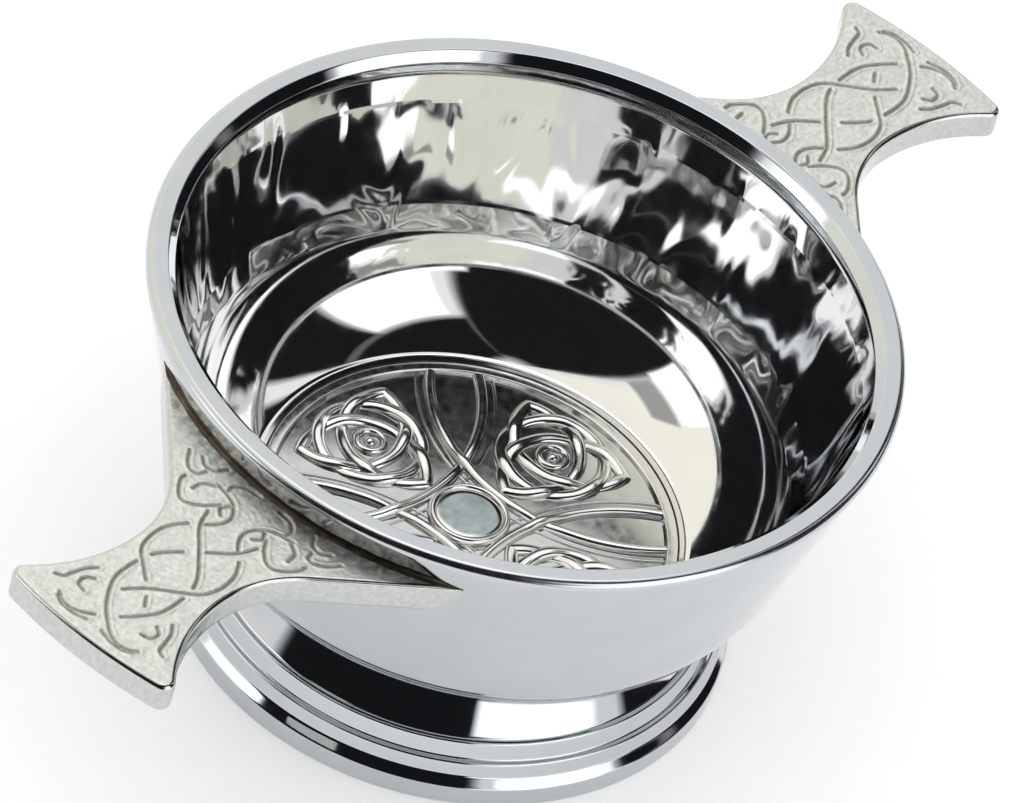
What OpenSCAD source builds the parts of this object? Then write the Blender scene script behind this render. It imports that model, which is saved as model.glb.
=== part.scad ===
// Pewter quaich: a spun two-handled drinking bowl on a hollow spread foot,
// with flat cast lugs soldered to its wall and a cast medallion let into its floor.
// Millimetres, +Z up. The origin is on the bowl's axis, in the plane that the foot
// stands on, and the lugs reach out along X.

/* [Bowl] */
// Outside diameter of the rim
rim_d = 100; // [90:1:115]
// Height of the rim's top above the table
bowl_h = 54.6; // [51:0.2:60]
// Width of the thickened lip, from outside to inside
lip_w = 4; // [3.4:0.1:4.8]
// Depth of the thickened lip, from its top to where it dies into the wall
lip_h = 4; // [3.2:0.1:5]
// Radius of the lip's outer corner
lip_outer_r = 1; // [0.6:0.1:1.4]
// Radius of the lip's inner corner
lip_inner_r = 1.5; // [0.9:0.1:1.8]
// Thickness of the spun wall
wall_t = 2; // [1.8:0.1:2.4]
// Lean of the wall outwards from upright, in degrees
wall_lean = 16.5; // [13:0.5:19]
// Slope at which the base leaves the floor, from level, in degrees
base_slope = 24; // [20:0.5:34]
// Height of the bowl's flat underside above the table
base_z = 12.8; // [11.5:0.1:14]
// Thickness of the floor
floor_t = 3; // [2.6:0.1:3.6]
// Width of the plain floor round the medallion
floor_ring_w = 1.15; // [0.8:0.05:3]
// Radius of the hollow where the floor meets the sloping base
floor_fillet = 2.4; // [1:0.1:2.5]

/* [Medallion] */
// Diameter of the cast medallion
medallion_d = 56; // [50:1:57]
// Thickness of the medallion's plate below the carved field
medallion_plate_t = 0.7; // [0.5:0.05:1]
// Height of the plain border above the field
border_h = 0.7; // [0.4:0.05:1]
// Width of the plain border
border_w = 1.6; // [1:0.1:2.4]
// Height of the ribs of the cross above the field
rib_h = 0.95; // [0.4:0.05:1.2]
// Width of a rib at its foot
rib_w = 1.7; // [0.8:0.1:2]
// Radius of the four circles that draw the cross
rib_circle_r = 26.4; // [23:0.2:28]
// Distance from the medallion's centre to the middle of a rib circle
rib_circle_at = 32.4; // [31.5:0.1:34]
// Diameter of the plain boss in the middle
boss_d = 8.6; // [7:0.1:9.6]
// Height of the boss above the field
boss_h = 0.75; // [0.5:0.05:1.1]
// Width of the raised ring round the boss
boss_ring_w = 1.3; // [0.8:0.1:1.8]
// Height of that ring above the field
boss_ring_h = 1.05; // [0.7:0.05:1.4]
// Width of a strand of the knots at its foot
strand_w = 1.6; // [1:0.1:1.8]
// Height of the upper strands above the field
strand_h = 0.85; // [0.5:0.05:1.1]
// How far a strand rises or dips where it passes over or under another
weave_step = 0.15; // [0.08:0.01:0.2]
// Distance from the medallion's centre to the middle of a knot
knot_at = 17.4; // [16.6:0.1:18]
// Diameter of the bead in a knot's eye
knot_bead_d = 1.7; // [1.2:0.1:2]
// Radius of the ring round that bead, along the strand's middle
knot_eye_r = 1.9; // [1.7:0.1:2.1]
// Width of that ring at its foot
knot_eye_w = 1.1; // [0.8:0.1:1.3]
// Radius of the three half circles that draw a knot's pointed loops
knot_arc_r = 8.4; // [7.6:0.1:8.6]
// Radius of the plain loop woven through them
knot_loop_r = 7; // [6.5:0.1:7.4]

/* [Foot] */
// Diameter of the foot at the table
foot_d = 75; // [70:1:84]
// Height of the upright band round the foot's edge
foot_edge_h = 3.2; // [2.6:0.1:3.6]
// Radius of the band's upper corner
foot_edge_r = 1.2; // [0.6:0.1:1.4]
// Width of the flat ring that the foot stands on
foot_ring_w = 2.6; // [1.6:0.1:3.4]
// Height of the top of the shoulder's lower step above the table
step_z = 5.9; // [5.2:0.1:6.6]
// Width of the narrow ledge above the band and above each of the shoulder's two steps
ledge_w = 0.45; // [0.3:0.05:0.6]
// Rise of a ledge from its outer edge to its inner
ledge_rise = 0.3; // [0.1:0.05:0.4]
// How far the ridge above the shoulder stands in from the foot's edge
ridge_in = 3.9; // [3.4:0.1:4.6]
// Height of the ridge above the table
ridge_z = 8.3; // [7.8:0.1:9]
// Diameter of the neck under the bowl
neck_d = 60.4; // [60:0.2:63]
// How far the neck is drawn in from a straight cone
neck_hollow = 0.15; // [0.1:0.05:0.4]
// Thickness of the foot's metal
foot_t = 2.2; // [1.6:0.1:2.6]

/* [Lugs] */
// How far a lug reaches beyond the rim
lug_reach = 36.4; // [31:0.2:42]
// Width of a lug across its end
lug_end_w = 29.8; // [26:0.2:32]
// Bow of the lug's end beyond its corners
lug_end_bow_h = 1.6; // [1:0.1:3]
// Width of a lug at its waist
lug_waist_w = 15; // [12:0.1:17]
// Distance from the lug's end back to its waist
lug_waist_back = 19; // [16:0.2:21]
// Radius of the sweep between the waist and the root
lug_root_r = 17; // [14:0.5:20]
// Angle on the wall from the middle of a lug to the tip of its root, in degrees
lug_root_angle = 31.5; // [29:0.5:34]
// Thickness of a lug
lug_t = 4.4; // [3.6:0.1:5]
// Drop from the rim's top to a lug's top
lug_drop = 5.1; // [4:0.1:7]
// Rounding of a lug's upper and lower edges
lug_edge_r = 0.7; // [0.4:0.1:1.2]
// Rounding of a lug's outer corners in plan
lug_corner_r = 1.6; // [1.2:0.1:2.6]

/* [Solder] */
// Thickness of a soldered joint
solder_t = 0.15; // [0.1:0.01:0.25]
// How far the solder shows beyond a joint
solder_bead = 0.4; // [0.2:0.05:0.7]

/* [Hidden] */
$fn = 96;

// Straight steps in the arc of a profile, and in the rounding of a lug's edge
arc_steps = 12;
edge_steps = 4;
// Overrun of a solid that is cut away or buried
overrun = 3;
// Depth to which relief is sunk into the plate that carries it
sink = 0.3;
// Width of a strand's top as a share of its foot
strand_crown = 0.55;

pewter = "#c9ccd0";
cast_pewter = "#bdbbb2";
solder_grey = "#77706a";

rim_r = rim_d / 2;
foot_r = foot_d / 2;
ridge_r = foot_r - ridge_in;
neck_r = neck_d / 2;
medallion_r = medallion_d / 2;
floor_z = base_z + floor_t;
field_z = floor_z - border_h;
seat_z = field_z - medallion_plate_t - solder_t;
lug_top = bowl_h - lug_drop;
lug_bottom = lug_top - lug_t;

function unit(a) = [cos(a), sin(a)];
function angle_of(v) = atan2(v[1], v[0]);
function reversed(list) = [for (i = [len(list) - 1 : -1 : 0]) list[i]];
function after_first(list) = [for (i = [1 : len(list) - 1]) list[i]];

// Points of an arc about a centre, from one angle to another
function arc(centre, r, from, to) =
    [for (i = [0 : arc_steps]) centre + r * unit(from + (to - from) * i / arc_steps)];

// Points from p to q on the arc that stands h off their chord, to the right of the way
function bowed(p, q, h) =
    let (
        half = norm(q - p) / 2,
        r = (half * half + h * h) / (2 * h),
        along = (q - p) / norm(q - p),
        centre = (p + q) / 2 + (r - h) * [-along[1], along[0]],
        from = angle_of(p - centre),
        turn = 2 * asin(half / r)
    )
    arc(centre, r, from, from + turn);

// The point at distance ra from a and rb from b, on the left of the way from a to b
function meet(a, ra, b, rb) =
    let (
        d = norm(b - a),
        along = (b - a) / d,
        x = (d * d + ra * ra - rb * rb) / (2 * d),
        y = sqrt(ra * ra - x * x)
    )
    a + x * along + y * [-along[1], along[0]];

// The bowl's outside: the wall hangs from the lip's outer corner, the base leaves the floor at its
// slope, and the belly starts where the floor's fillet ends and is as round as touches the wall
wall_normal = unit(-wall_lean);
cone_normal = unit(base_slope - 90);
lip_centre = [rim_r - lip_outer_r, bowl_h - lip_outer_r];
wall_head = lip_centre + lip_outer_r * wall_normal;
floor_corner = [medallion_r + floor_ring_w, floor_z];
cone_foot = floor_corner + wall_t * cone_normal;
belly_foot = cone_foot + floor_fillet * tan(base_slope / 2) * unit(base_slope);
belly_r = wall_normal * (wall_head - belly_foot) / (1 - wall_normal * cone_normal);
belly_centre = belly_foot - belly_r * cone_normal;

// Radius of the wall and of the base cone at a height, on a surface moved out by grow
function wall_r(z, grow) = wall_head[0] - (wall_head[1] - z) * tan(wall_lean) + grow / cos(wall_lean);
function cone_r(z, grow) = cone_foot[0] + (z - cone_foot[1]) / tan(base_slope) + grow / sin(base_slope);
function cone_z(r, grow) = cone_foot[1] + (r - cone_foot[0]) * tan(base_slope) - grow / cos(base_slope);
function belly(grow) = arc(belly_centre, belly_r + grow, base_slope - 90, -wall_lean);

// The filled outside of the bowl, moved out by grow: what the lugs and foot are coped to
module bowl_outside(grow) {
    bottom = base_z - grow;
    rotate_extrude()
        polygon(concat(
            [[0, bottom], [cone_r(bottom, grow), bottom]],
            belly(grow),
            [[wall_r(bowl_h, grow), bowl_h], [0, bowl_h]]
        ));
}

// Spun bowl with a thickened lip, and a round recess in its floor for the medallion
module bowl() {
    lip_inside = rim_r - lip_w;
    lip_foot = bowl_h - lip_h;
    fillet_centre = floor_corner + floor_fillet * [-tan(base_slope / 2), 1];
    color(pewter)
        difference() {
            rotate_extrude()
                polygon(concat(
                    [[0, base_z], [cone_r(base_z, 0), base_z]],
                    belly(0),
                    arc(lip_centre, lip_outer_r, -wall_lean, 90),
                    arc([lip_inside + lip_inner_r, bowl_h - lip_inner_r], lip_inner_r, 90, 180),
                    [[wall_r(lip_foot, -wall_t), lip_foot]],
                    reversed(belly(-wall_t)),
                    after_first(reversed(arc(fillet_centre, floor_fillet, -90, base_slope - 90))),
                    [[0, floor_z]]
                ));
            translate([0, 0, seat_z])
                cylinder(r = medallion_r + solder_t, h = bowl_h);
        }
}

// A raised strand of the relief, standing on the field and turning about the origin
module strand(r, w, h, turn = 360) {
    crown = w * strand_crown;
    rotate_extrude(angle = turn)
        translate([r, 0])
            polygon([[-w / 2, -sink], [w / 2, -sink], [crown / 2, h], [-crown / 2, h]]);
}

// A rounded stud of the relief, of the same slope as a strand
module stud(d) {
    translate([0, 0, -sink])
        cylinder(d1 = d, d2 = d * strand_crown, h = strand_h + sink);
}

// One knot: a ringed bead, three half circles that cross and meet in points, and a loop through them.
// Each half circle dips under the next in its first quarter and rises over the last in its second.
module knot() {
    centre_at = knot_arc_r / sqrt(3);
    stud(knot_bead_d);
    strand(knot_eye_r, knot_eye_w, strand_h);
    strand(knot_loop_r, strand_w, strand_h);
    for (turn = [0, 120, 240])
        rotate(turn) {
            translate([centre_at, 0, 0])
                rotate(90) {
                    strand(knot_arc_r, strand_w, strand_h - weave_step, 90);
                    rotate(90)
                        strand(knot_arc_r, strand_w, strand_h + weave_step, 90);
                }
            translate([-2 * centre_at, 0, 0])
                stud(strand_w);
        }
}

// Cast medallion: a cross drawn by four circles, with a knot in each of its bays
module base_medallion() {
    border_in = medallion_r - border_w;
    boss_r = boss_d / 2;
    color(cast_pewter)
        translate([0, 0, field_z]) {
            translate([0, 0, -medallion_plate_t])
                cylinder(r = medallion_r, h = medallion_plate_t);
            translate([0, 0, -sink])
                difference() {
                    cylinder(r = medallion_r, h = border_h + sink);
                    translate([0, 0, -overrun])
                        cylinder(r = border_in, h = border_h + 2 * overrun);
                }
            intersection() {
                translate([0, 0, -sink])
                    cylinder(r = border_in + border_w / 2, h = overrun);
                union() {
                    for (quarter = [0 : 3])
                        rotate(90 * quarter) {
                            translate([rib_circle_at, 0, 0])
                                strand(rib_circle_r, rib_w, quarter % 2 == 0 ? rib_h : rib_h - weave_step);
                            translate([knot_at, 0, 0])
                                knot();
                        }
                }
            }
            translate([0, 0, -sink])
                cylinder(r = boss_r, h = boss_h + sink);
            strand(boss_r + boss_ring_w / 2, boss_ring_w, boss_ring_h);
        }
}

// Solder under the medallion and round its edge
module medallion_solder() {
    color(solder_grey)
        translate([0, 0, seat_z])
            difference() {
                cylinder(r = medallion_r + solder_t, h = floor_z - seat_z);
                translate([0, 0, solder_t])
                    cylinder(r = medallion_r, h = overrun);
            }
}

// Spread foot: an upright edge, a shoulder of two leaning steps, a ridge and a drawn-in neck, open below
module foot() {
    ledge = [-ledge_w, ledge_rise];
    step_lean = (ridge_in - foot_edge_r - 3 * ledge_w) / 2;
    edge_centre = [foot_r - foot_edge_r, foot_edge_h - foot_edge_r];
    lower_foot = [foot_r - foot_edge_r, foot_edge_h] + ledge;
    lower_top = [lower_foot[0] - step_lean, step_z];
    ridge = [ridge_r, ridge_z];
    neck_top = [neck_r, cone_z(neck_r, solder_t)];
    neck_in = neck_r - foot_t;
    color(pewter)
        difference() {
            rotate_extrude()
                polygon(concat(
                    [[foot_r, 0]],
                    arc(edge_centre, foot_edge_r, 0, 90),
                    [lower_foot, lower_top, lower_top + ledge, ridge - ledge],
                    reversed(bowed(neck_top, ridge, neck_hollow)),
                    [
                        neck_top + [0, overrun],
                        [neck_in, neck_top[1] + overrun],
                        [neck_in, neck_top[1] - foot_t],
                        [ridge_r - foot_t, ridge_z - foot_t],
                        [foot_r - foot_ring_w, 0]
                    ]
                ));
            bowl_outside(solder_t);
        }
}

// Solder between the foot's neck and the bowl's underside
module foot_solder() {
    color(solder_grey)
        difference() {
            intersection() {
                bowl_outside(solder_t);
                difference() {
                    cylinder(r = neck_r + solder_bead, h = bowl_h);
                    cylinder(r = neck_r - foot_t, h = bowl_h);
                }
            }
            bowl_outside(0);
        }
}

// Plan of a lug: from its tip on the wall along a straight flank, in to the waist,
// out to the rounded corner and along the bowed end
lug_end = rim_r + lug_reach;
lug_half_end = lug_end_w / 2;
lug_half_waist = lug_waist_w / 2;
lug_waist_x = lug_end - lug_waist_back;
side_run = lug_waist_back - lug_end_bow_h;
side_rise = lug_half_end - lug_half_waist;
side_r = (side_run * side_run + side_rise * side_rise) / (2 * side_rise);
end_r = (lug_half_end * lug_half_end + lug_end_bow_h * lug_end_bow_h) / (2 * lug_end_bow_h);
root_centre = [lug_waist_x, lug_half_waist + lug_root_r];
side_centre = [lug_waist_x, lug_half_waist + side_r];
end_centre = [lug_end - end_r, 0];
corner_centre = meet(side_centre, side_r + lug_corner_r, end_centre, end_r - lug_corner_r);
lug_tip = wall_r(lug_top, 0) * unit(lug_root_angle);
lug_buried = (wall_r(lug_bottom, 0) - overrun) * unit(lug_root_angle);

// Half of the plan as pairs of a point and the direction into the metal there
function swept(centre, r, from, to, inward) =
    [for (i = [0 : arc_steps])
        let (a = from + (to - from) * i / arc_steps) [centre + r * unit(a), inward * unit(a)]];
function lug_half() =
    let (
        to_tip = lug_tip - root_centre,
        flank = 180 + angle_of(-to_tip) + acos(lug_root_r / norm(to_tip)),
        waist = 270,
        corner = 360 + angle_of(corner_centre - side_centre),
        end = angle_of(corner_centre - end_centre)
    )
    concat(
        [[lug_buried, unit(flank)], [lug_tip, unit(flank)]],
        swept(root_centre, lug_root_r, flank, waist, 1),
        swept(side_centre, side_r, waist + (corner - waist) / arc_steps, corner, 1),
        swept(corner_centre, lug_corner_r, corner - 180, end, -1),
        swept(end_centre, end_r, end * (1 - 1 / arc_steps), end / (2 * arc_steps), -1)
    );

// The lug's plate, with rounded edges, running on into the bowl
module lug_blank() {
    half = lug_half();
    n = len(half);
    rounding = [
        for (j = [0 : edge_steps])
            let (a = 90 * j / edge_steps) lug_edge_r * [1 - sin(a), 1 - cos(a)]
    ];
    layers = concat(
        [for (e = rounding) [e[0], lug_bottom + e[1]]],
        [for (e = reversed(rounding)) [e[0], lug_top - e[1]]]
    );
    m = len(layers);
    points = [
        for (side = [1, -1])
            for (station = half)
                for (layer = layers)
                    let (p = station[0] + layer[0] * station[1]) [p[0], side * p[1], layer[1]]
    ];
    function at(side, i, k) = (side * n + i) * m + k;
    function quad(a, b, c, d) = [[a, b, c], [a, c, d]];
    faces = concat(
        [for (i = [0 : n - 2]) for (k = [0 : m - 2])
            each quad(at(0, i, k), at(0, i, k + 1), at(0, i + 1, k + 1), at(0, i + 1, k))],
        [for (i = [0 : n - 2]) for (k = [0 : m - 2])
            each quad(at(1, i, k), at(1, i + 1, k), at(1, i + 1, k + 1), at(1, i, k + 1))],
        [for (k = [0 : m - 2])
            each quad(at(0, n - 1, k), at(0, n - 1, k + 1), at(1, n - 1, k + 1), at(1, n - 1, k))],
        [for (k = [0 : m - 2]) each quad(at(0, 0, k), at(1, 0, k), at(1, 0, k + 1), at(0, 0, k + 1))],
        [for (i = [0 : n - 2])
            each quad(at(0, i, m - 1), at(1, i, m - 1), at(1, i + 1, m - 1), at(0, i + 1, m - 1))],
        [for (i = [0 : n - 2]) each quad(at(0, i, 0), at(0, i + 1, 0), at(1, i + 1, 0), at(1, i, 0))]
    );
    polyhedron(points, faces);
}

// Cast lug, coped to the bowl's wall
module lug() {
    color(cast_pewter)
        difference() {
            lug_blank();
            bowl_outside(solder_t);
        }
}

// Solder between a lug's root and the wall, showing round its edge
module lug_solder() {
    outline = [for (station = lug_half()) station[0] - solder_bead * station[1]];
    color(solder_grey)
        difference() {
            intersection() {
                translate([0, 0, lug_bottom - solder_bead])
                    linear_extrude(lug_t + 2 * solder_bead)
                        polygon(concat(outline, [for (p = reversed(outline)) [p[0], -p[1]]]));
                bowl_outside(solder_t);
            }
            bowl_outside(0);
        }
}

module lug_left() {
    rotate(180)
        lug();
}

module lug_right() {
    lug();
}

module lug_solder_left() {
    rotate(180)
        lug_solder();
}

module lug_solder_right() {
    lug_solder();
}

bowl();
base_medallion();
medallion_solder();
foot();
foot_solder();
lug_left();
lug_right();
lug_solder_left();
lug_solder_right();
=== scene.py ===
import math

import bmesh
import bpy
from mathutils import Matrix, Quaternion, Vector, kdtree, noise


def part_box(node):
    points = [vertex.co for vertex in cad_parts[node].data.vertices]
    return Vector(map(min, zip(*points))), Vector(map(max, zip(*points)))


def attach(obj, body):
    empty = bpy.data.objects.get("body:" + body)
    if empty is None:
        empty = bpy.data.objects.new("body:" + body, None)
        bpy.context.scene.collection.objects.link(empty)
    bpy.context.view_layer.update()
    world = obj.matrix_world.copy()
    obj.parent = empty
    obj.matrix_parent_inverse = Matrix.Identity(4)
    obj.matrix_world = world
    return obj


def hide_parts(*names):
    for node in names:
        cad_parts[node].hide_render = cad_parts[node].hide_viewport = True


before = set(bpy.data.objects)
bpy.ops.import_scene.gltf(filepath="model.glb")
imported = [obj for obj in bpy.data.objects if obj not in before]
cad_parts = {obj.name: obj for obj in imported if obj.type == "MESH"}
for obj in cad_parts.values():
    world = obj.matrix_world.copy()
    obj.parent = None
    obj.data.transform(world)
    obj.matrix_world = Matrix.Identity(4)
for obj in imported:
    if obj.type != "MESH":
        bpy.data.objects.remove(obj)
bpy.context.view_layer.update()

# Bowl
# A disc of pewter spun over a chuck: a flat floor, a round belly and a leaning wall, with the edge thickened
# into a lip that is bevelled inside. It is buffed to a mirror, and the mop leaves the wall faintly wavy.
bowl_low, bowl_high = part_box("bowl")
rim_r = bowl_high.x
rim_z = bowl_high.z
base_z = bowl_low.z
lip_w = 0.004
lip_h = 0.004
lip_outer_r = 0.001
lip_bevel = 0.0012
lip_arris = 0.00012
lip_fade = 0.0008
wall_t = 0.002
wall_lean = 16.5
base_slope = 24
floor_t = 0.003
floor_ring_w = 0.00115
floor_fillet = 0.0024
solder_t = 0.00015
border_h = 0.0007
plate_t = 0.0007
turn_steps = 320
wave_depth = 0.00006
wave_w = 0.008
wave_h = 0.03
wave_fade = 0.004
mop_depth = 0.0004
floor_z = base_z + floor_t
field_z = floor_z - border_h
seat_z = field_z - plate_t - solder_t
medallion_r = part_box("base_medallion")[1].x


def unit(degrees):
    """A direction in the turning plane: across, then up."""
    return Vector((math.cos(math.radians(degrees)), math.sin(math.radians(degrees))))


def arc(centre, radius, start, end, steps=16):
    """Points on an arc from one angle to another."""
    return [centre + radius * unit(start + (end - start) * i / steps) for i in range(steps + 1)]


def straight(start, end, steps):
    """Points between two ends, without the ends."""
    return [start.lerp(end, i / steps) for i in range(1, steps)]


def softened(line, reach, steps=4):
    """A line with its corners eased off, and points set along its straights."""
    out = [line[0]]
    for before, here, after in zip(line, line[1:], line[2:]):
        a = here + (before - here).normalized() * reach
        b = here + (after - here).normalized() * reach
        out += straight(out[-1], a, 8)
        out += [a.lerp(here, i / steps).lerp(here.lerp(b, i / steps), i / steps) for i in range(steps + 1)]
    return out


def turned(outline):
    """A lathe-turned shape from its half outline, given as radius and height."""
    shape = bmesh.new()
    points = [shape.verts.new((p.x, 0, p.y)) for p in outline]
    edges = [shape.edges.new(ends) for ends in zip(points, points[1:])]
    if outline[0].x > 0:
        edges.append(shape.edges.new((points[-1], points[0])))
    bmesh.ops.spin(
        shape, geom=points + edges, cent=(0, 0, 0), axis=(0, 0, 1),
        angle=math.tau, steps=turn_steps, use_merge=True,
    )
    bmesh.ops.remove_doubles(shape, verts=shape.verts, dist=1e-7)
    bmesh.ops.recalc_face_normals(shape, faces=shape.faces)
    return shape


def finish_piece(name, shape, finish, slot, *nodes):
    """A smooth-shaded piece that stands for the named nodes."""
    mesh = bpy.data.meshes.new(name)
    shape.to_mesh(mesh)
    shape.free()
    mesh.shade_smooth()
    mesh.set_sharp_from_angle(angle=math.radians(38))
    mesh.materials.append(finish)
    piece = bpy.data.objects.new(name, mesh)
    bpy.context.scene.collection.objects.link(piece)
    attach(piece, "root")
    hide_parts(*nodes)


def new_finish(name):
    """A metal material with its node tree, shader and Object coordinates."""
    material = bpy.data.materials.new(name)
    material.use_nodes = True
    nodes = material.node_tree.nodes
    shader = nodes["Principled BSDF"]
    shader.inputs["Metallic"].default_value = 1
    return material, material.node_tree, shader, nodes.new("ShaderNodeTexCoord")


def between(tree, value, low, high, to_low=0, to_high=1):
    """A number carried from one range to another and held at its ends."""
    spread = tree.nodes.new("ShaderNodeMapRange")
    spread.inputs["From Min"].default_value = low
    spread.inputs["From Max"].default_value = high
    spread.inputs["To Min"].default_value = to_low
    spread.inputs["To Max"].default_value = to_high
    tree.links.new(value, spread.inputs["Value"])
    return spread.outputs["Result"]


def speckle(tree, coordinates, scale, detail, low, high):
    """Fractal noise of the piece's own coordinates, mapped to a range of numbers."""
    pattern = tree.nodes.new("ShaderNodeTexNoise")
    pattern.inputs["Scale"].default_value = scale
    pattern.inputs["Detail"].default_value = detail
    tree.links.new(coordinates.outputs["Object"], pattern.inputs["Vector"])
    return between(tree, pattern.outputs["Fac"], 0.3, 0.7, low, high)


def shades(tree, factor, *stops):
    """Colours blended by a number from 0 to 1."""
    ramp = tree.nodes.new("ShaderNodeValToRGB")
    bands = ramp.color_ramp.elements
    while len(bands) < len(stops):
        bands.new(0.5)
    for band, (place, colour) in zip(bands, stops):
        band.position = place
        band.color = (*colour, 1)
    tree.links.new(factor, ramp.inputs["Fac"])
    return ramp.outputs["Color"]


def marked(tree, name):
    """A number that the mesh carries at its points."""
    mark = tree.nodes.new("ShaderNodeAttribute")
    mark.attribute_name = name
    return mark.outputs["Fac"]


def blended(tree, kind, factor, first, second):
    """Two colours or numbers mixed by a factor."""
    blend = tree.nodes.new("ShaderNodeMix")
    blend.data_type = kind
    tree.links.new(factor, blend.inputs["Factor"])
    tree.links.new(first, blend.inputs["A"])
    tree.links.new(second, blend.inputs["B"])
    return blend.outputs["Result"]


def polished_pewter():
    """Buffed pewter: a cool mirror with a worn satin lip and drawn mop marks, painted paler inside the bowl
    than outside so that the inside's reflections are painted brighter.
    """
    material, tree, shader, coordinates = new_finish("polished_pewter")
    cloud = speckle(tree, coordinates, 90, 4, 0, 1)
    # Painted light: the inside gets a paler colour than the outside, so the same metal reflects brighter
    # inside.
    outside = shades(tree, cloud, (0, (0.54, 0.567, 0.588)), (1, (0.582, 0.608, 0.62)))
    inside = shades(tree, cloud, (0, (0.74, 0.745, 0.75)), (1, (0.79, 0.795, 0.795)))
    colour = blended(tree, "RGBA", marked(tree, "painted_bright_inside"), outside, inside)
    tree.links.new(colour, shader.inputs["Base Color"])
    mirror = speckle(tree, coordinates, 420, 6, 0.03, 0.07)
    satin = speckle(tree, coordinates, 420, 6, 0.14, 0.22)
    tree.links.new(blended(tree, "FLOAT", marked(tree, "worn"), mirror, satin), shader.inputs["Roughness"])
    drawn = tree.nodes.new("ShaderNodeVectorMath")
    drawn.operation = "MULTIPLY"
    drawn.inputs[1].default_value = (1, 1, 0.3)
    tree.links.new(coordinates.outputs["Object"], drawn.inputs[0])
    streak = tree.nodes.new("ShaderNodeTexNoise")
    streak.inputs["Scale"].default_value = 120
    streak.inputs["Detail"].default_value = 1
    streak.inputs["Distortion"].default_value = 0.9
    tree.links.new(drawn.outputs["Vector"], streak.inputs["Vector"])
    height = tree.nodes.new("ShaderNodeMath")
    height.operation = "MULTIPLY"
    tree.links.new(streak.outputs["Fac"], height.inputs[0])
    tree.links.new(marked(tree, "mopped"), height.inputs[1])
    relief = tree.nodes.new("ShaderNodeBump")
    relief.inputs["Distance"].default_value = mop_depth
    tree.links.new(height.outputs["Value"], relief.inputs["Height"])
    tree.links.new(relief.outputs["Normal"], shader.inputs["Normal"])
    return material


wall_normal = unit(-wall_lean)
cone_normal = unit(base_slope - 90)
lip_centre = Vector((rim_r - lip_outer_r, rim_z - lip_outer_r))
wall_head = lip_centre + lip_outer_r * wall_normal
floor_corner = Vector((medallion_r + floor_ring_w, floor_z))
cone_foot = floor_corner + wall_t * cone_normal
belly_foot = cone_foot + floor_fillet * math.tan(math.radians(base_slope / 2)) * unit(base_slope)
belly_r = wall_normal.dot(wall_head - belly_foot) / (1 - wall_normal.dot(cone_normal))
belly_centre = belly_foot - belly_r * cone_normal
fillet_centre = floor_corner + floor_fillet * Vector((-math.tan(math.radians(base_slope / 2)), 1))


def wall_radius(z, grow=0):
    """Radius of the wall's outside at a height, on a surface moved out by grow."""
    lean = math.radians(wall_lean)
    return wall_head.x - (wall_head.y - z) * math.tan(lean) + grow / math.cos(lean)


def cone_radius(z):
    """Radius of the base's outside at a height, where it slopes up from the floor."""
    return cone_foot.x + (z - cone_foot.y) / math.tan(math.radians(base_slope))


def bowl_outline():
    """The bowl's half section, from the underside out, up, over the lip and down to the recess."""
    base_edge = Vector((cone_radius(base_z), base_z))
    belly_out = arc(belly_centre, belly_r, base_slope - 90, -wall_lean, 60)
    lip_out = arc(lip_centre, lip_outer_r, -wall_lean, 90, 14)
    lip_foot = Vector((wall_radius(rim_z - lip_h, -wall_t), rim_z - lip_h))
    bevel_foot = Vector((rim_r - lip_w, rim_z - lip_bevel))
    bevel = [lip_out[-1], Vector((bevel_foot.x + lip_bevel, rim_z)), bevel_foot, lip_foot]
    lip_in = softened(bevel, lip_arris)[1:]
    belly_in = arc(belly_centre, belly_r - wall_t, -wall_lean, base_slope - 90, 80)
    fillet = arc(fillet_centre, floor_fillet, base_slope - 90, -90, 12)
    recess_r = medallion_r + solder_t
    recess_top = Vector((recess_r, floor_z))
    recess_foot = Vector((recess_r, seat_z))
    return (
        [Vector((0, base_z))] + straight(Vector((0, base_z)), base_edge, 12) + [base_edge]
        + straight(base_edge, belly_out[0], 4) + belly_out
        + straight(belly_out[-1], lip_out[0], 24) + lip_out
        + lip_in + straight(lip_in[-1], lip_foot, 4) + [lip_foot]
        + straight(lip_foot, belly_in[0], 40) + belly_in + fillet[1:]
        + [recess_top, recess_foot, Vector((0, seat_z))]
    )


def mop_waves(shape):
    """Marks the worn lip and the inside, which is painted paler for painted light, and leaves the wall there
    faintly wavy below the lip.
    """
    painted_bright_inside = shape.verts.layers.float.new("painted_bright_inside")
    mopped = shape.verts.layers.float.new("mopped")
    worn = shape.verts.layers.float.new("worn")
    low = belly_centre.y - belly_r * math.sin(math.radians(wall_lean))
    high = rim_z - lip_h
    for point in shape.verts:
        x, y, z = point.co
        around = math.hypot(x, y)
        if z <= low and (Vector((around, z)) - belly_centre).length < belly_r - wall_t / 2:
            point[painted_bright_inside] = 1
        elif low < z <= high and around < wall_radius(z, -wall_t / 2):
            point[painted_bright_inside] = 1
            fade = min(1, (z - low) / wave_fade, (high - z) / wave_fade)
            wave = noise.noise(Vector((x / wave_w, y / wave_w, z / wave_h)))
            shift = wave_depth * wave * fade / around
            point[mopped] = fade
            point.co.x += x * shift
            point.co.y += y * shift
        elif around > rim_r - lip_w + lip_bevel - lip_arris / 2:
            point[worn] = max(0, min(1, (z - rim_z) / lip_fade + 2))


pewter = polished_pewter()
bowl_shape = turned(bowl_outline())
mop_waves(bowl_shape)
finish_piece("spun_bowl", bowl_shape, pewter, "polished_pewter", "bowl")
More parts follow.
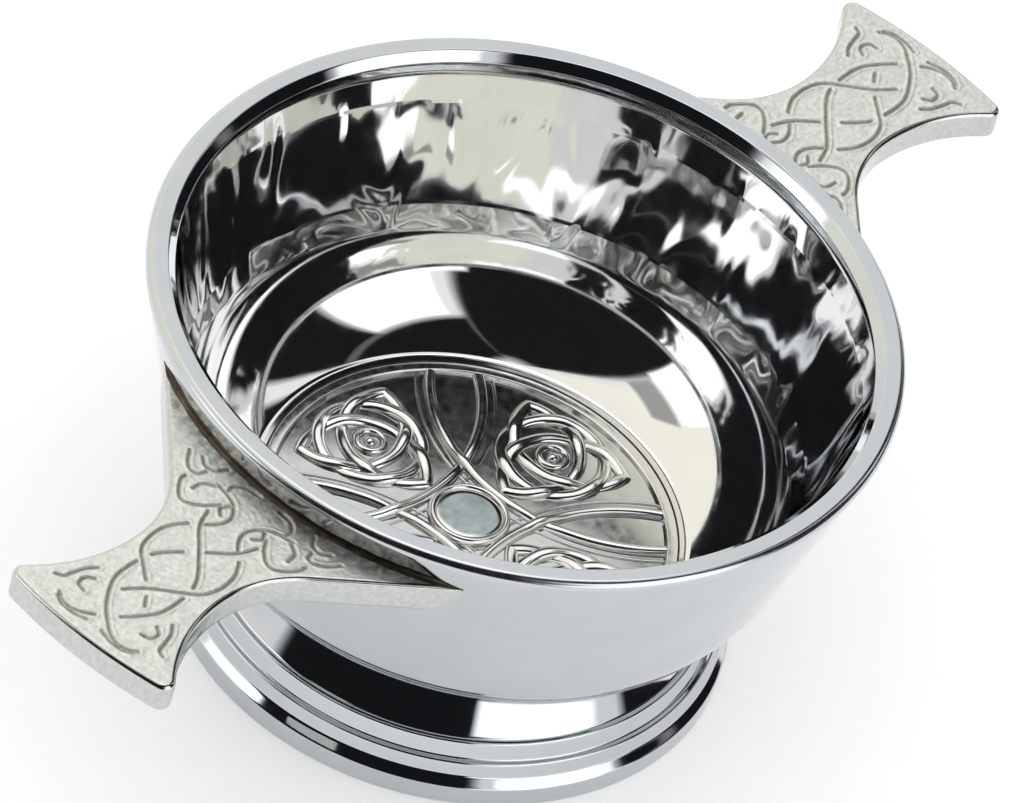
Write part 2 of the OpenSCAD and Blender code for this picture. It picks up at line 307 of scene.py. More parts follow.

# Medallion
# A cast pewter disc let into the floor: four ribs drawn as circles make a cross round a plain boss, and a
# knot of half-round strands lies in each bay. The strands weave over and under, and the ground has painted
# shade.
border_w = 0.0016
border_edge_r = 0.00025
border_foot = 0.0002
boss_r = 0.0043
boss_h = 0.00075
boss_ring_w = 0.0013
boss_ring_h = 0.00105
boss_fade = 0.0003
rib_w = 0.0017
rib_h = 0.0008
rib_circle_r = 0.0264
rib_circle_at = 0.0324
inlay_gap = 0.0018
inlay_w = 0.00045
inlay_h = 0.00022
strand_w = 0.002
strand_h = 0.00065
strand_sink = 0.0003
strand_step = 0.016
weave_lift = 0.0003
weave_reach = 1.1
knot_at = 0.0174
bead_r = 0.00085
eye_r = 0.0019
eye_w = 0.0011
knot_arc_r = 0.0084
loop_r = 0.007


def plate_outline():
    """Half section of the disc: underside, edge, raised border, field, ringed boss."""
    border_in = medallion_r - border_w
    ring_out = boss_r + boss_ring_w
    ring_mid = Vector((boss_r + boss_ring_w / 2, field_z))
    ring = [
        ring_mid + Vector((boss_ring_w / 2 * math.cos(a), boss_ring_h * math.sin(a)))
        for a in (math.pi * i / 14 for i in range(12))
    ]
    boss_edge = Vector((boss_r, field_z + boss_h))
    boss_top = Vector((0, field_z + boss_h))
    field_edge = Vector((border_in - border_foot, field_z))
    round_z = floor_z - border_edge_r
    return (
        [Vector((0, field_z - plate_t)), Vector((medallion_r, field_z - plate_t))]
        + arc(Vector((medallion_r - border_edge_r, round_z)), border_edge_r, 0, 90, 6)
        + arc(Vector((border_in + border_edge_r, round_z)), border_edge_r, 90, 180, 6)
        + [field_edge] + straight(field_edge, Vector((ring_out, field_z)), 24)
        + ring + [boss_edge] + straight(boss_edge, boss_top, 6) + [boss_top]
    )


def lay_strand(shape, centre, radius, start, turn, lifts=(), width=strand_w, height=strand_h):
    """A half-round strand along an arc of the field, raised or dipped where it crosses another."""
    section = [
        Vector((radius + width / 2 * math.cos(a), 0, height * math.sin(a)))
        for a in (math.pi * i / 8 for i in range(9))
    ]
    section.append(Vector((radius - width / 2, 0, -strand_sink)))
    section.append(Vector((radius + width / 2, 0, -strand_sink)))
    known = len(shape.verts)
    points = [shape.verts.new(p) for p in section]
    edges = [shape.edges.new(ends) for ends in zip(points, points[1:] + points[:1])]
    whole = turn >= 360
    bmesh.ops.rotate(shape, verts=points, cent=(0, 0, 0), matrix=Matrix.Rotation(math.radians(start), 3, "Z"))
    end = bmesh.ops.spin(
        shape, geom=points + edges, cent=(0, 0, 0), axis=(0, 0, 1), angle=math.radians(turn),
        steps=max(16, round(turn * radius / strand_step)), use_merge=whole,
    )["geom_last"]
    if not whole:
        bmesh.ops.contextual_create(shape, geom=points)
        bmesh.ops.contextual_create(shape, geom=[g for g in end if isinstance(g, bmesh.types.BMVert)])
    reach = weave_reach * width / radius
    shape.verts.ensure_lookup_table()
    for point in shape.verts[known:]:
        here = math.atan2(point.co.y, point.co.x)
        for angle, lift in lifts:
            away = math.remainder(here - math.radians(angle), math.tau) / reach
            if point.co.z > -strand_sink / 2:
                point.co.z += lift * math.exp(-away * away)
        point.co += Vector((centre.x, centre.y, field_z))


def lay_bead(shape, centre, radius):
    """A round bead half sunk in the field."""
    place = Matrix.Translation((centre.x, centre.y, field_z))
    flatten = Matrix.Diagonal((1, 1, strand_h / radius, 1))
    bmesh.ops.create_icosphere(shape, subdivisions=3, radius=radius, matrix=place @ flatten)


def lay_ribs(shape):
    """One circle of the cross, over one neighbour and under the other, with a fine line beside it."""
    middle = Vector((rib_circle_at, 0))
    border_in = medallion_r - border_w
    cross = rib_circle_at / 2 - math.sqrt(rib_circle_r ** 2 / 2 - rib_circle_at ** 2 / 4)
    over = math.degrees(math.atan2(cross, cross - rib_circle_at))
    lifts = ((over, weave_lift), (-over, -weave_lift))
    for radius, width, height, rise in (
        (rib_circle_r, rib_w, rib_h, lifts), (rib_circle_r + inlay_gap, inlay_w, inlay_h, ()),
    ):
        end = math.degrees(math.acos(
            (border_in ** 2 - rib_circle_at ** 2 - radius ** 2) / (2 * rib_circle_at * radius)
        ))
        lay_strand(shape, middle, radius, end, 360 - 2 * end, rise, width, height)


def lay_knot(shape):
    """A ringed bead, three half circles that cross and meet in points, and a loop woven through them."""
    middle = Vector((knot_at, 0))
    centre_at = knot_arc_r / math.sqrt(3)
    lay_bead(shape, middle, bead_r)
    lay_strand(shape, middle, eye_r, 0, 360, (), eye_w)
    meet = math.degrees(math.acos(
        (loop_r ** 2 - knot_arc_r ** 2 - centre_at ** 2) / (2 * knot_arc_r * centre_at)
    ))
    loop_lifts = []
    for turn in (0, 120, 240):
        arc_lifts = (
            (turn + meet, weave_lift), (turn + 150, -weave_lift),
            (turn + 210, weave_lift), (turn - meet, -weave_lift),
        )
        for angle, lift in (arc_lifts[0], arc_lifts[3]):
            place = centre_at * unit(turn) + knot_arc_r * unit(angle)
            loop_lifts.append((math.degrees(math.atan2(place.y, place.x)), -lift))
        lay_strand(shape, middle + centre_at * unit(turn), knot_arc_r, turn + 90, 180, arc_lifts)
        lay_bead(shape, middle - 2 * centre_at * unit(turn), strand_w / 2)
    lay_strand(shape, middle, loop_r, 0, 360, loop_lifts)


def cast_medallion_finish():
    """Cast pewter with a polish: painted shade darkens it towards the ground and leaves the crowns paler, and
    the boss is dull grey.
    """
    material, tree, shader, coordinates = new_finish("cast_medallion")
    place = tree.nodes.new("ShaderNodeSeparateXYZ")
    tree.links.new(coordinates.outputs["Object"], place.inputs["Vector"])
    # Painted shade: the colour darkens with depth, from the crowns down to the ground.
    level = between(tree, place.outputs["Z"], field_z, floor_z)
    metal_with_painted_shade = shades(
        tree, level, (0, (0.64, 0.645, 0.64)), (0.35, (0.69, 0.69, 0.68)), (0.75, (0.76, 0.76, 0.75)),
    )
    flat = tree.nodes.new("ShaderNodeCombineXYZ")
    tree.links.new(place.outputs["X"], flat.inputs["X"])
    tree.links.new(place.outputs["Y"], flat.inputs["Y"])
    around = tree.nodes.new("ShaderNodeVectorMath")
    around.operation = "LENGTH"
    tree.links.new(flat.outputs["Vector"], around.inputs[0])
    outside = between(tree, around.outputs["Value"], boss_r - boss_fade, boss_r)
    boss = shades(
        tree, speckle(tree, coordinates, 600, 4, 0, 1), (0, (0.3, 0.345, 0.35)), (1, (0.43, 0.475, 0.47)),
    )
    tree.links.new(blended(tree, "RGBA", outside, boss, metal_with_painted_shade), shader.inputs["Base Color"])
    tree.links.new(speckle(tree, coordinates, 700, 5, 0.1, 0.2), shader.inputs["Roughness"])
    return material


relief = bmesh.new()
lay_ribs(relief)
lay_knot(relief)
bmesh.ops.recalc_face_normals(relief, faces=relief.faces)
bmesh.ops.spin(
    relief, geom=relief.verts[:] + relief.edges[:] + relief.faces[:], cent=(0, 0, 0), axis=(0, 0, 1),
    angle=math.tau * 3 / 4, steps=3, use_duplicate=True,
)
relief_mesh = bpy.data.meshes.new("relief")
relief.to_mesh(relief_mesh)
relief.free()
medallion_shape = turned(plate_outline())
medallion_shape.from_mesh(relief_mesh)
bpy.data.meshes.remove(relief_mesh)
finish_piece(
    "cross_medallion", medallion_shape, cast_medallion_finish(), "cast_pewter", "base_medallion",
)

# Foot
# A second spinning, trumpet-shaped and open below: an upright edge with a turned bevel, two leaning steps, a
# ridge and a nearly straight neck that is soldered to the bowl's underside. It is polished like the bowl.
foot_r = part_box("foot")[1].x
foot_edge_h = 0.0029
foot_bevel = 0.0011
foot_ring_w = 0.0026
foot_step_z = 0.0059
foot_ledge = Vector((-0.0007, 0.00005))
foot_ridge = Vector((foot_r - 0.0039, 0.0083))
foot_arris = 0.0002
neck_r = 0.0302
neck_hollow = 0.00015
foot_t = 0.0022


def bowed(start, end, height, steps=20):
    """Points on the arc from start to end that stands off its chord, to the right of the way."""
    half = (end - start).length / 2
    along = (end - start).normalized()
    radius = (half * half + height * height) / (2 * height)
    centre = (start + end) / 2 + (radius - height) * Vector((-along.y, along.x))
    first = math.degrees(math.atan2((start - centre).y, (start - centre).x))
    return arc(centre, radius, first, first + 2 * math.degrees(math.asin(half / radius)), steps)


def foot_outline():
    """Half section of the foot, from its standing edge up the outside and down the inside."""
    edge_foot = Vector((foot_r, foot_arris))
    edge_top = Vector((foot_r, foot_edge_h))
    bevel_top = edge_top + Vector((-foot_bevel, foot_bevel))
    way = foot_ridge - bevel_top - 2 * foot_ledge
    lower_top = bevel_top + way * (foot_step_z - bevel_top.y) / way.y
    neck_z = cone_foot.y + (neck_r - cone_foot.x) * math.tan(math.radians(base_slope))
    neck = bowed(Vector((neck_r, neck_z)), foot_ridge, neck_hollow)[::-1]
    steps = [edge_foot, edge_top, bevel_top, lower_top, lower_top + foot_ledge]
    steps += [foot_ridge - foot_ledge, foot_ridge, neck[1]]
    inner_ridge = foot_ridge - Vector((foot_t, foot_t))
    return (
        [Vector((foot_r - foot_arris, 0))] + softened(steps, foot_arris) + neck[1:]
        + [Vector((neck_r - foot_t, neck_z - foot_t / 2)), inner_ridge, Vector((foot_r - foot_ring_w, 0))]
    )


finish_piece("spread_foot", turned(foot_outline()), pewter, "polished_pewter", "foot")

# Lugs
# Two flat pewter castings, waisted in plan, with a line plait and small hooks cut into the top. Their sides
# and arrises are polished smooth and painted darker as shade; the top keeps the sand's grain, its cuts are
# painted dark as shade, and flux has darkened the root.
lug_low, lug_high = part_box("lug_right")
lug_end = lug_high.x
lug_top = lug_high.z
lug_t = lug_high.z - lug_low.z
lug_half_end = 0.0149
lug_end_bow = 0.0016
lug_half_waist = 0.0075
lug_waist_back = 0.019
lug_root_r = 0.017
lug_root_angle = 31.5
lug_edge_r = 0.0007
lug_corner_r = 0.0016
lug_rows = 340
lug_columns = 180
lug_bury = 0.0004
tip_bury = 0.002
tip_run = 0.007
tip_t = 0.0006
tip_cuts = (18, 36, 54, 72)
cut_w = 0.00021
cut_depth = 0.00017
cut_gap = 0.0011
burr_at = 0.0005
burr_h = 0.00006
grain_depth = 0.00003
grain_w = 0.0006
smooth_edge = 0.0007
bow_rate = 1.7
flux_start = 0.0525
flux_full = 0.0482
plait_line = (
    (57.1, -4.2), (59.1, -3.5), (60.6, -2.6), (62.6, -0.8), (64.6, 0.9), (66.6, 2.5), (68.6, 3.6),
    (71.4, 4.1), (75, 4), (77.6, 2.9), (80.2, 1.1), (82.1, -0.9), (83.4, -2.6), (83.9, -4.2), (83.6, -5.7),
    (82.9, -6.7),
)
band_line = (
    (60.8, 4.4), (62.1, 5.2), (63.6, 5.8), (65.6, 6), (67.6, 5.7), (69.2, 4.9), (70.8, 3.2), (72.6, 1.1),
    (74.1, -0.4), (76.2, -1.9),
)
plait_under = {1: (0.0701, 0.0812), -1: (0.064, 0.0699)}
band_under = {1: (), -1: (0.0737,)}
hook_lines = (
    ((59.3, 2.9), (58, 1.9), (56.6, 1.4), (55.1, 1.7), (53.6, 3), (52.9, 4.6), (52.6, 6.4)),
    ((55, 3.9), (56.8, 5.2), (58, 6.6), (58.2, 8), (57.1, 9.3), (55.6, 10.2), (54.6, 10.3)),
    ((50.8, 12.9), (52.2, 12), (53.2, 10.9), (53.2, 9.6), (52, 9)),
    ((75.9, 6.4), (77.2, 7.3), (78.8, 7.8), (80.4, 8.2), (81, 9.2)),
    ((77.7, 5.3), (78.5, 6.3), (79.9, 6.1), (80.3, 4.9)),
    ((83.5, 6.4), (84.2, 5.2), (84.3, 3.2), (83.8, 1.3)),
    ((49.9, 1.8), (50.1, 3.6), (51.2, 4.9), (52.6, 5)),
    ((49.6, 7.4), (50.9, 8.3), (51.3, 9.8), (50.4, 11)),
    ((53, 6.6), (54, 7.9), (55.6, 8.2)),
    ((54.2, 3), (55.4, 3.5), (56.4, 2.7)),
)


def meeting(a, ra, b, rb):
    """The point at distance ra from a and rb from b, on the left of the way from a to b."""
    gap = (b - a).length
    along = (b - a) / gap
    x = (gap * gap + ra * ra - rb * rb) / (2 * gap)
    return a + x * along + math.sqrt(ra * ra - x * x) * Vector((-along.y, along.x))


def spaced(line, count):
    """A line's points spread again at even steps along it."""
    marks = [0]
    for a, b in zip(line, line[1:]):
        marks.append(marks[-1] + (b - a).length)
    out = []
    k = 0
    for i in range(count + 1):
        want = marks[-1] * i / count
        while k < len(line) - 2 and marks[k + 1] < want:
            k += 1
        out.append(line[k].lerp(line[k + 1], (want - marks[k]) / (marks[k + 1] - marks[k])))
    return out


def lug_side():
    """One side of the lug's plan, from its tip within the wall to the end of its rounded corner."""
    waist = Vector((lug_end - lug_waist_back, lug_half_waist))
    run = lug_waist_back - lug_end_bow
    rise = lug_half_end - lug_half_waist
    side_r = (run * run + rise * rise) / (2 * rise)
    end_r = (lug_half_end ** 2 + lug_end_bow ** 2) / (2 * lug_end_bow)
    root_centre = waist + Vector((0, lug_root_r))
    side_centre = waist + Vector((0, side_r))
    end_centre = Vector((lug_end - end_r, 0))
    corner = meeting(side_centre, side_r + lug_corner_r, end_centre, end_r - lug_corner_r)
    tip = wall_radius(lug_top) * unit(lug_root_angle)
    to_tip = tip - root_centre
    flank = 180 + math.degrees(math.atan2(-to_tip.y, -to_tip.x) + math.acos(lug_root_r / to_tip.length))
    turn = 360 + math.degrees(math.atan2((corner - side_centre).y, (corner - side_centre).x))
    close = math.degrees(math.atan2((corner - end_centre).y, (corner - end_centre).x))
    sweep = arc(root_centre, lug_root_r, flank, 270, 40)
    line = (
        [tip - tip_bury * (sweep[0] - tip).normalized()] + sweep + arc(side_centre, side_r, 270, turn, 40)[1:]
        + arc(corner, lug_corner_r, turn - 180, close, 20)[1:]
    )
    return spaced(line, lug_rows), end_r, end_centre


def flowing(points, steps=24):
    """A smooth line through points given in millimetres."""
    points = [Vector(p) / 1000 for p in points]
    ends = [2 * points[0] - points[1]] + points + [2 * points[-1] - points[-2]]
    line = []
    for a, b, c, d in zip(ends, ends[1:], ends[2:], ends[3:]):
        for i in range(steps):
            t = i / steps
            line.append((2 * b + (c - a) * t + (2 * a - 5 * b + 4 * c - d) * t * t
                         + (3 * b - a - 3 * c + d) * t ** 3) / 2)
    return line + [points[-1]]


def cut_finder():
    """A search tree of every cut on the lug's top. A line stops short where it passes under another."""
    cuts = []
    for side in (1, -1):
        cuts += [(plait_line, side, plait_under[side]), (band_line, side, band_under[side])]
        cuts += [(line, side, ()) for line in hook_lines]
    places = [
        (p.x, p.y * side, 0) for line, side, dips in cuts for p in flowing(line)
        if all(abs(p.x - dip) > cut_gap for dip in dips)
    ]
    tree = kdtree.KDTree(len(places))
    for i, place in enumerate(places):
        tree.insert(place, i)
    tree.balance()
    return tree


def lug_shape():
    """The right-hand lug's top: a grid drawn out to the plan, then cut and grained."""
    side, end_r, end_centre = lug_side()
    cuts = cut_finder()
    wall_bow = wall_radius(lug_top) - lug_bury - side[0].x
    shape = bmesh.new()
    bmesh.ops.create_grid(shape, x_segments=lug_rows, y_segments=lug_columns, size=0.5)
    outward = shape.verts.layers.float_vector.new("outward")
    hollow = shape.verts.layers.float.new("hollow")
    for point in shape.verts:
        row = round((point.co.x + 0.5) * lug_rows)
        across = 2 * point.co.y
        ahead = side[min(row + 1, lug_rows)] - side[max(row - 1, 0)]
        normal = Vector((-ahead.y, ahead.x)).normalized()
        edge = side[row] - lug_edge_r * normal
        end_bow = end_r - math.sqrt(end_r ** 2 - edge.y ** 2)
        bow = wall_bow + (end_bow - wall_bow) * min(1, bow_rate * row / lug_rows)
        x = edge.x + bow * (1 - across * across)
        y = edge.y * across
        if row == lug_rows and abs(across) < 0.999:
            point[outward] = (Vector((x, y)) - end_centre).normalized().to_3d()
        elif row > 0:
            point[outward] = Vector((normal.x, normal.y * across, 0))
        away = cuts.find((x, y, 0))[2]
        inside = min((1 - abs(across)) * edge.y, (side[row] - side[lug_rows]).length)
        fade = min(1, inside / smooth_edge)
        cut = fade * math.exp(-(away / cut_w) ** 2)
        burr = fade * math.exp(-((away - burr_at) / cut_w) ** 2)
        grain = fade * noise.fractal(Vector((x, y, 0)) / grain_w, 1.0, 2.0, 2)
        # The cut's depth also sets where painted shade darkens the top.
        point[hollow] = cut
        point.co = (x, y, lug_top - cut_depth * cut + burr_h * burr + grain_depth * grain)
    return shape, outward, hollow


def close_lug(shape, outward, hollow):
    """Rounds the edges of a lug's top, drops the sides and closes the underside."""
    # Marks the sides and arrises, which are smoother and carry painted shade.
    buffed_and_shaded = shape.verts.layers.float.new("buffed_and_shaded")
    steps = 6
    ways = []
    for i in range(1, steps + 1):
        a = math.pi / 2 * i / steps
        b = math.pi / 2 * (i - 1) / steps
        ways.append((lug_edge_r * (math.sin(a) - math.sin(b)), lug_edge_r * (math.cos(b) - math.cos(a))))
    sides = [(0, (lug_t - 2 * lug_edge_r) / 4)] * 4
    under = [(-down, out) for out, down in ways]
    rim = [e for e in shape.edges if e.is_boundary]
    lean = math.tan(math.radians(wall_lean))
    for out, down in ways + sides + under:
        grown = bmesh.ops.extrude_edge_only(shape, edges=rim)["geom"]
        rim = [g for g in grown if isinstance(g, bmesh.types.BMEdge) and g.is_boundary]
        for point in (g for g in grown if isinstance(g, bmesh.types.BMVert)):
            way = point[outward]
            if way.length == 0:
                point.co -= Vector((point.co.x, point.co.y, 0)).normalized() * down * lean
            point.co += way * out
            point.co.z -= down
            point[hollow] = 0
            point[buffed_and_shaded] = 1
    bmesh.ops.edgeloop_fill(shape, edges=rim)
    bmesh.ops.recalc_face_normals(shape, faces=shape.faces)
    return shape


def file_tips(shape):
    """Files the underside of the two root tips up to thin points, in a few flats along a quarter ellipse."""
    tip = wall_radius(lug_top) * unit(lug_root_angle)
    rise = lug_t - tip_t
    for side in (1, -1):
        onward = Vector((-tip.y, side * tip.x, 0)).normalized()
        middle = Vector((tip.x, side * tip.y, lug_top - tip_t)) - tip_run * onward
        for angle in tip_cuts:
            along, down = unit(angle).yx
            cut = bmesh.ops.bisect_plane(
                shape, geom=shape.verts[:] + shape.edges[:] + shape.faces[:], dist=1e-8, clear_outer=True,
                plane_co=middle + tip_run * along * onward - Vector((0, 0, rise * down)),
                plane_no=along / tip_run * onward - Vector((0, 0, down / rise)),
            )["geom_cut"]
            bmesh.ops.edgeloop_fill(shape, edges=[g for g in cut if isinstance(g, bmesh.types.BMEdge)])
    bmesh.ops.recalc_face_normals(shape, faces=shape.faces)
    return shape


def carved_pewter():
    """Satin cast pewter: pale and grainy, with smoother sides, painted shade on the sides and in the cuts,
    and brown flux near the bowl.
    """
    material, tree, shader, coordinates = new_finish("carved_pewter")
    side = marked(tree, "buffed_and_shaded")
    grain = speckle(tree, coordinates, 1500, 3, 0, 1)
    sanded = shades(tree, grain, (0, (0.64, 0.65, 0.63)), (1, (0.8, 0.805, 0.785)))
    # Painted shade: the sides and arrises get a darker copy of the top's colour.
    painted_side_shade = shades(tree, grain, (0, (0.5, 0.51, 0.495)), (1, (0.6, 0.605, 0.59)))
    bare = blended(tree, "RGBA", side, sanded, painted_side_shade)
    # Painted shade: the cuts on the top are coloured dark.
    painted_cut_shade = shades(tree, grain, (0, (0.25, 0.25, 0.225)), (1, (0.37, 0.365, 0.335)))
    metal_with_painted_shade = blended(tree, "RGBA", marked(tree, "hollow"), bare, painted_cut_shade)
    flat = tree.nodes.new("ShaderNodeVectorMath")
    flat.operation = "MULTIPLY"
    flat.inputs[1].default_value = (1, 1, 0)
    tree.links.new(coordinates.outputs["Object"], flat.inputs[0])
    around = tree.nodes.new("ShaderNodeVectorMath")
    around.operation = "LENGTH"
    tree.links.new(flat.outputs["Vector"], around.inputs[0])
    near_root = tree.nodes.new("ShaderNodeMath")
    near_root.operation = "MULTIPLY"
    tree.links.new(between(tree, around.outputs["Value"], flux_start, flux_full), near_root.inputs[0])
    tree.links.new(between(tree, side, 0, 0.3, 1, 0), near_root.inputs[1])
    blotch = tree.nodes.new("ShaderNodeMath")
    blotch.operation = "MULTIPLY"
    tree.links.new(near_root.outputs["Value"], blotch.inputs[0])
    tree.links.new(speckle(tree, coordinates, 800, 3, -0.35, 1.2), blotch.inputs[1])
    flux = shades(tree, grain, (0, (0.09, 0.07, 0.045)), (1, (0.2, 0.165, 0.115)))
    stained = blended(tree, "RGBA", blotch.outputs["Value"], metal_with_painted_shade, flux)
    tree.links.new(stained, shader.inputs["Base Color"])
    sandy = speckle(tree, coordinates, 900, 5, 0.4, 0.58)
    smooth = speckle(tree, coordinates, 900, 5, 0.1, 0.2)
    tree.links.new(blended(tree, "FLOAT", side, sandy, smooth), shader.inputs["Roughness"])
    return material


lug_finish = carved_pewter()
right_lug = file_tips(close_lug(*lug_shape()))
left_lug = right_lug.copy()
bmesh.ops.rotate(left_lug, verts=left_lug.verts, cent=(0, 0, 0), matrix=Matrix.Rotation(math.pi, 3, "Z"))
finish_piece("carved_lug_right", right_lug, lug_finish, "cast_pewter", "lug_right")
finish_piece("carved_lug_left", left_lug, lug_finish, "cast_pewter", "lug_left")

# Solder
# Tin solder drawn into the joints: a bead along the lugs' roots, and thin seams under the neck and round the
# medallion. It dulls and browns sooner than the pewter, and shows as a dark line.
bead_up = 0.0005
bead_out = 0.0006
bead_taper = 4
bead_least = 0.15
bead_lump = 0.25
lump_w = 0.0025
bead_sink = 0.0002
bead_bite = Vector((-0.0004, 0))
wall_bite = Vector((-0.0003, 0))
seam_over = 0.3


def dull_solder():
    """Tarnished tin solder, brown and a little lumpy."""
    material, tree, shader, coordinates = new_finish("dull_solder")
    cloud = speckle(tree, coordinates, 500, 4, 0, 1)
    colour = shades(tree, cloud, (0, (0.05, 0.04, 0.028)), (1, (0.13, 0.105, 0.075)))
    tree.links.new(colour, shader.inputs["Base Color"])
    tree.links.new(speckle(tree, coordinates, 800, 3, 0.35, 0.5), shader.inputs["Roughness"])
    return material


def root_seam(turn):
    """A hollow-faced bead along the upper and lower corners between a lug and the wall."""
    shape = bmesh.new()
    for level, up in ((lug_top, 1), (lug_top - lug_t, -1)):
        corner = Vector((wall_radius(level), level))
        along_wall = Vector((wall_radius(level + up * bead_up), level + up * bead_up))
        face = [corner.lerp(along_wall, 1 - i / 6) + Vector((bead_out * (i / 6) ** 2, 0)) for i in range(7)]
        sunk = corner - Vector((0, up * bead_sink))
        back = [sunk + Vector((bead_out, 0)), sunk + bead_bite, along_wall + wall_bite]
        known = len(shape.verts)
        points = [shape.verts.new((p.x, 0, p.y)) for p in face + back]
        edges = [shape.edges.new(ends) for ends in zip(points, points[1:] + points[:1])]
        half = lug_root_angle + seam_over
        if up < 0:
            half -= math.degrees(tip_run / corner.x)
        to_start = Matrix.Rotation(math.radians(-half), 3, "Z")
        bmesh.ops.rotate(shape, verts=points, cent=(0, 0, 0), matrix=to_start)
        end = bmesh.ops.spin(
            shape, geom=points + edges, cent=(0, 0, 0), axis=(0, 0, 1),
            angle=math.radians(2 * half), steps=120,
        )["geom_last"]
        bmesh.ops.edgeloop_fill(shape, edges=edges)
        bmesh.ops.edgeloop_fill(shape, edges=[g for g in end if isinstance(g, bmesh.types.BMEdge)])
        shape.verts.ensure_lookup_table()
        for point in shape.verts[known:]:
            here = math.atan2(point.co.y, point.co.x)
            size = min(1, max(bead_least, (half - abs(math.degrees(here))) / bead_taper))
            size *= 1 + bead_lump * noise.noise(point.co / lump_w)
            axis = Vector((corner.x * math.cos(here), corner.x * math.sin(here), level))
            point.co = axis + size * (point.co - axis)
    bmesh.ops.recalc_face_normals(shape, faces=shape.faces)
    bmesh.ops.rotate(shape, verts=shape.verts, cent=(0, 0, 0), matrix=Matrix.Rotation(turn, 3, "Z"))
    return shape


solder = dull_solder()
finish_piece("root_seam_right", root_seam(0), solder, "solder", "lug_solder_right")
finish_piece("root_seam_left", root_seam(math.pi), solder, "solder", "lug_solder_left")
for name in ("medallion_solder", "foot_solder"):
    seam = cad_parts[name]
    seam.data.materials.clear()
    seam.data.materials.append(solder)

# Studio
# A white sheet under and all round. Soft-edged white boxes, cream and grey cards and black curtains hang
# about the bowl, and only the metal sees them.
floor_size = 3.0
sheet_lift = 0.16
far_side = 29.5
room_r = 1.4


def paper(name, colour, strength):
    """A sheet that glows evenly, or hardly at all, and fades out where its cover runs thin."""
    material = bpy.data.materials.new(name)
    material.use_nodes = True
    tree = material.node_tree
    tree.nodes.remove(tree.nodes["Principled BSDF"])
    glow = tree.nodes.new("ShaderNodeEmission")
    glow.inputs["Color"].default_value = (*colour, 1)
    glow.inputs["Strength"].default_value = strength
    cover = tree.nodes.new("ShaderNodeAttribute")
    cover.attribute_name = "cover"
    mix = tree.nodes.new("ShaderNodeMixShader")
    tree.links.new(cover.outputs["Fac"], mix.inputs["Fac"])
    tree.links.new(tree.nodes.new("ShaderNodeBsdfTransparent").outputs["BSDF"], mix.inputs[1])
    tree.links.new(glow.outputs["Emission"], mix.inputs[2])
    tree.links.new(mix.outputs["Shader"], tree.nodes["Material Output"].inputs["Surface"])
    return material


def hang(name, around, up, soft, material, away=room_r):
    """A curved sheet about the bowl, given by its angles from the far side and above the floor."""
    shape = bmesh.new()
    cover = shape.verts.layers.float.new("cover")
    bmesh.ops.create_grid(shape, x_segments=64, y_segments=32, size=0.5)
    wide = abs(around[1] - around[0])
    tall = up[1] - up[0]
    for point in shape.verts:
        s = point.co.x + 0.5
        t = point.co.y + 0.5
        point[cover] = max(0, min(1, min(s, 1 - s) * wide / soft, min(t, 1 - t) * tall / soft))
        turn = math.radians(far_side + around[0] + (around[1] - around[0]) * s)
        rise = math.radians(up[0] + tall * t)
        across = away * math.cos(rise)
        point.co = (across * math.cos(turn), across * math.sin(turn), away * math.sin(rise))
    mesh = bpy.data.meshes.new(name)
    shape.to_mesh(mesh)
    shape.free()
    mesh.materials.append(material)
    piece = bpy.data.objects.new(name, mesh)
    bpy.context.scene.collection.objects.link(piece)
    piece.visible_camera = False
    piece.visible_diffuse = False
    piece.visible_shadow = False


black = paper("black_curtain", (0.012, 0.012, 0.014), 1)
grey = paper("grey_card", (0.42, 0.42, 0.41), 1)
white = paper("white_box", (1, 1, 1), 1.85)
cream = paper("cream_card", (1, 0.975, 0.86), 1.12)
hang("curtain", (117, 214), (-4, 90), 5, black)
hang("box_right", (-97, -142), (22, 58), 2, white, 1.3)
hang("box_low", (-104, -156), (4, 26), 3, white, 1.25)
hang("box_left", (92, 122), (20, 43), 2, white, 1.3)
hang("grey_left", (90, 119), (43, 57), 2, grey, 1.32)
hang("far_left", (4, 117), (8, 88), 8, cream, 1.5)
hang("over_far", (-24, 44), (52, 88), 6, white, 1.45)
hang("far_right", (-18, -49), (18, 62), 4, black)
hang("right", (-55, -98), (16, 62), 4, black, 1.35)
hang("over_right", (-52, -152), (57, 90), 4, black, 1.36)
hang("low_right", (-28, -96), (-4, 20), 4, black, 1.45)

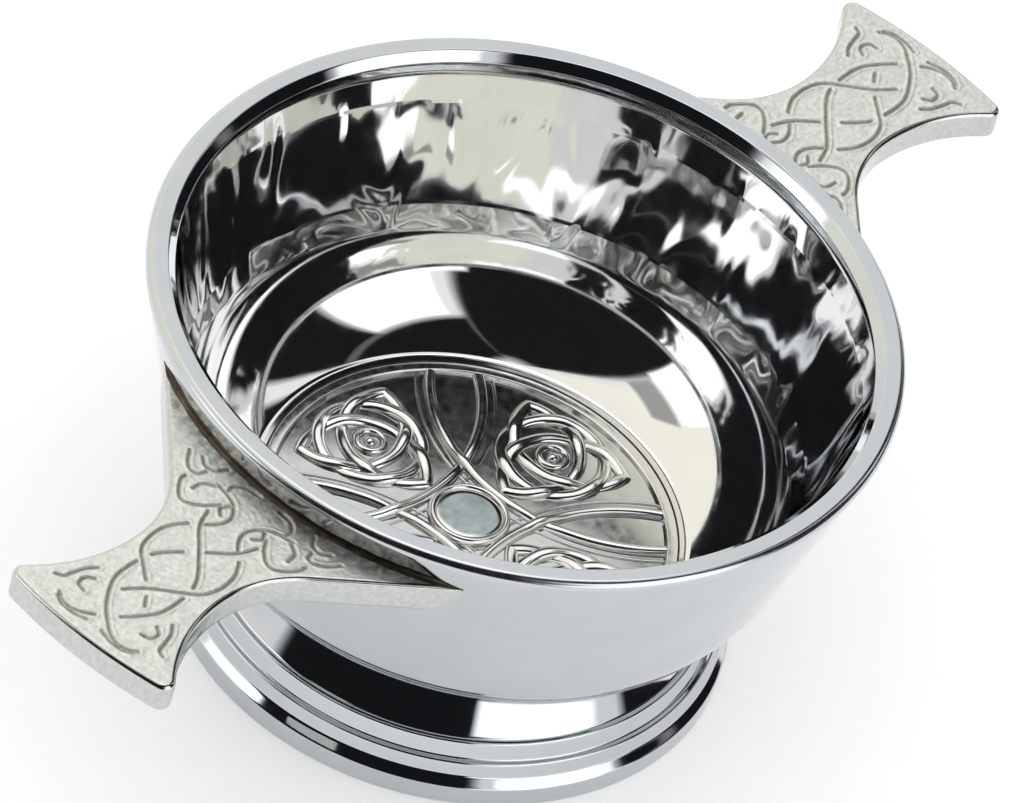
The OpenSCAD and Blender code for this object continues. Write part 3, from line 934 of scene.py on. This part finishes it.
floor_shape = bmesh.new()
bmesh.ops.create_grid(floor_shape, x_segments=1, y_segments=1, size=floor_size)
floor_mesh = bpy.data.meshes.new("white_sheet")
floor_shape.to_mesh(floor_mesh)
floor_shape.free()
sheet_finish = bpy.data.materials.new("white_sheet")
sheet_finish.use_nodes = True
sheet = sheet_finish.node_tree
sheet_shader = sheet.nodes["Principled BSDF"]
sheet_shader.inputs["Base Color"].default_value = (0.99, 0.99, 0.99, 1)
sheet_shader.inputs["Roughness"].default_value = 1
sheet_shader.inputs["Specular IOR Level"].default_value = 0
sheet_shader.inputs["Emission Color"].default_value = (1, 1, 1, 1)
sheet_ray = sheet.nodes.new("ShaderNodeLightPath")
seen = sheet_ray.outputs["Is Camera Ray"]
for kind in ("Is Glossy Ray", "Is Transmission Ray"):
    either = sheet.nodes.new("ShaderNodeMath")
    either.operation = "MAXIMUM"
    sheet.links.new(seen, either.inputs[0])
    sheet.links.new(sheet_ray.outputs[kind], either.inputs[1])
    seen = either.outputs["Value"]
sheet.links.new(between(sheet, seen, 0, 1, 0, sheet_lift), sheet_shader.inputs["Emission Strength"])
floor_mesh.materials.append(sheet_finish)
floor = bpy.data.objects.new("white_sheet", floor_mesh)
bpy.context.scene.collection.objects.link(floor)

world = bpy.data.worlds.new("white_room")
bpy.context.scene.world = world
world.use_nodes = True
world.node_tree.nodes["Background"].inputs["Color"].default_value = (1, 1, 1, 1)
world.node_tree.nodes["Background"].inputs["Strength"].default_value = 1
bpy.context.scene.view_settings.view_transform = "Standard"

# Camera
# A long lens on a stand, above and to the left of the bowl and tilted, as close in as the frame allows.
# Its place and lens were set until the rim, the foot and both lugs lay on their outlines.
aim = Vector((0.0342, 0.0189, 0))
view_from = Vector((-0.632312, -0.358312, 0.686873))
camera_away = 1.8073
camera_roll = 15.85
camera_lens = 482.07
lens = bpy.data.cameras.new("view")
lens.sensor_fit = "HORIZONTAL"
lens.sensor_width = 36
lens.lens = camera_lens
lens.clip_end = 20
camera = bpy.data.objects.new("view", lens)
bpy.context.scene.collection.objects.link(camera)
camera.location = aim + camera_away * view_from
level = (-view_from).to_track_quat("-Z", "Y")
camera.rotation_euler = (level @ Quaternion((0, 0, 1), math.radians(camera_roll))).to_euler()
bpy.context.scene.camera = camera
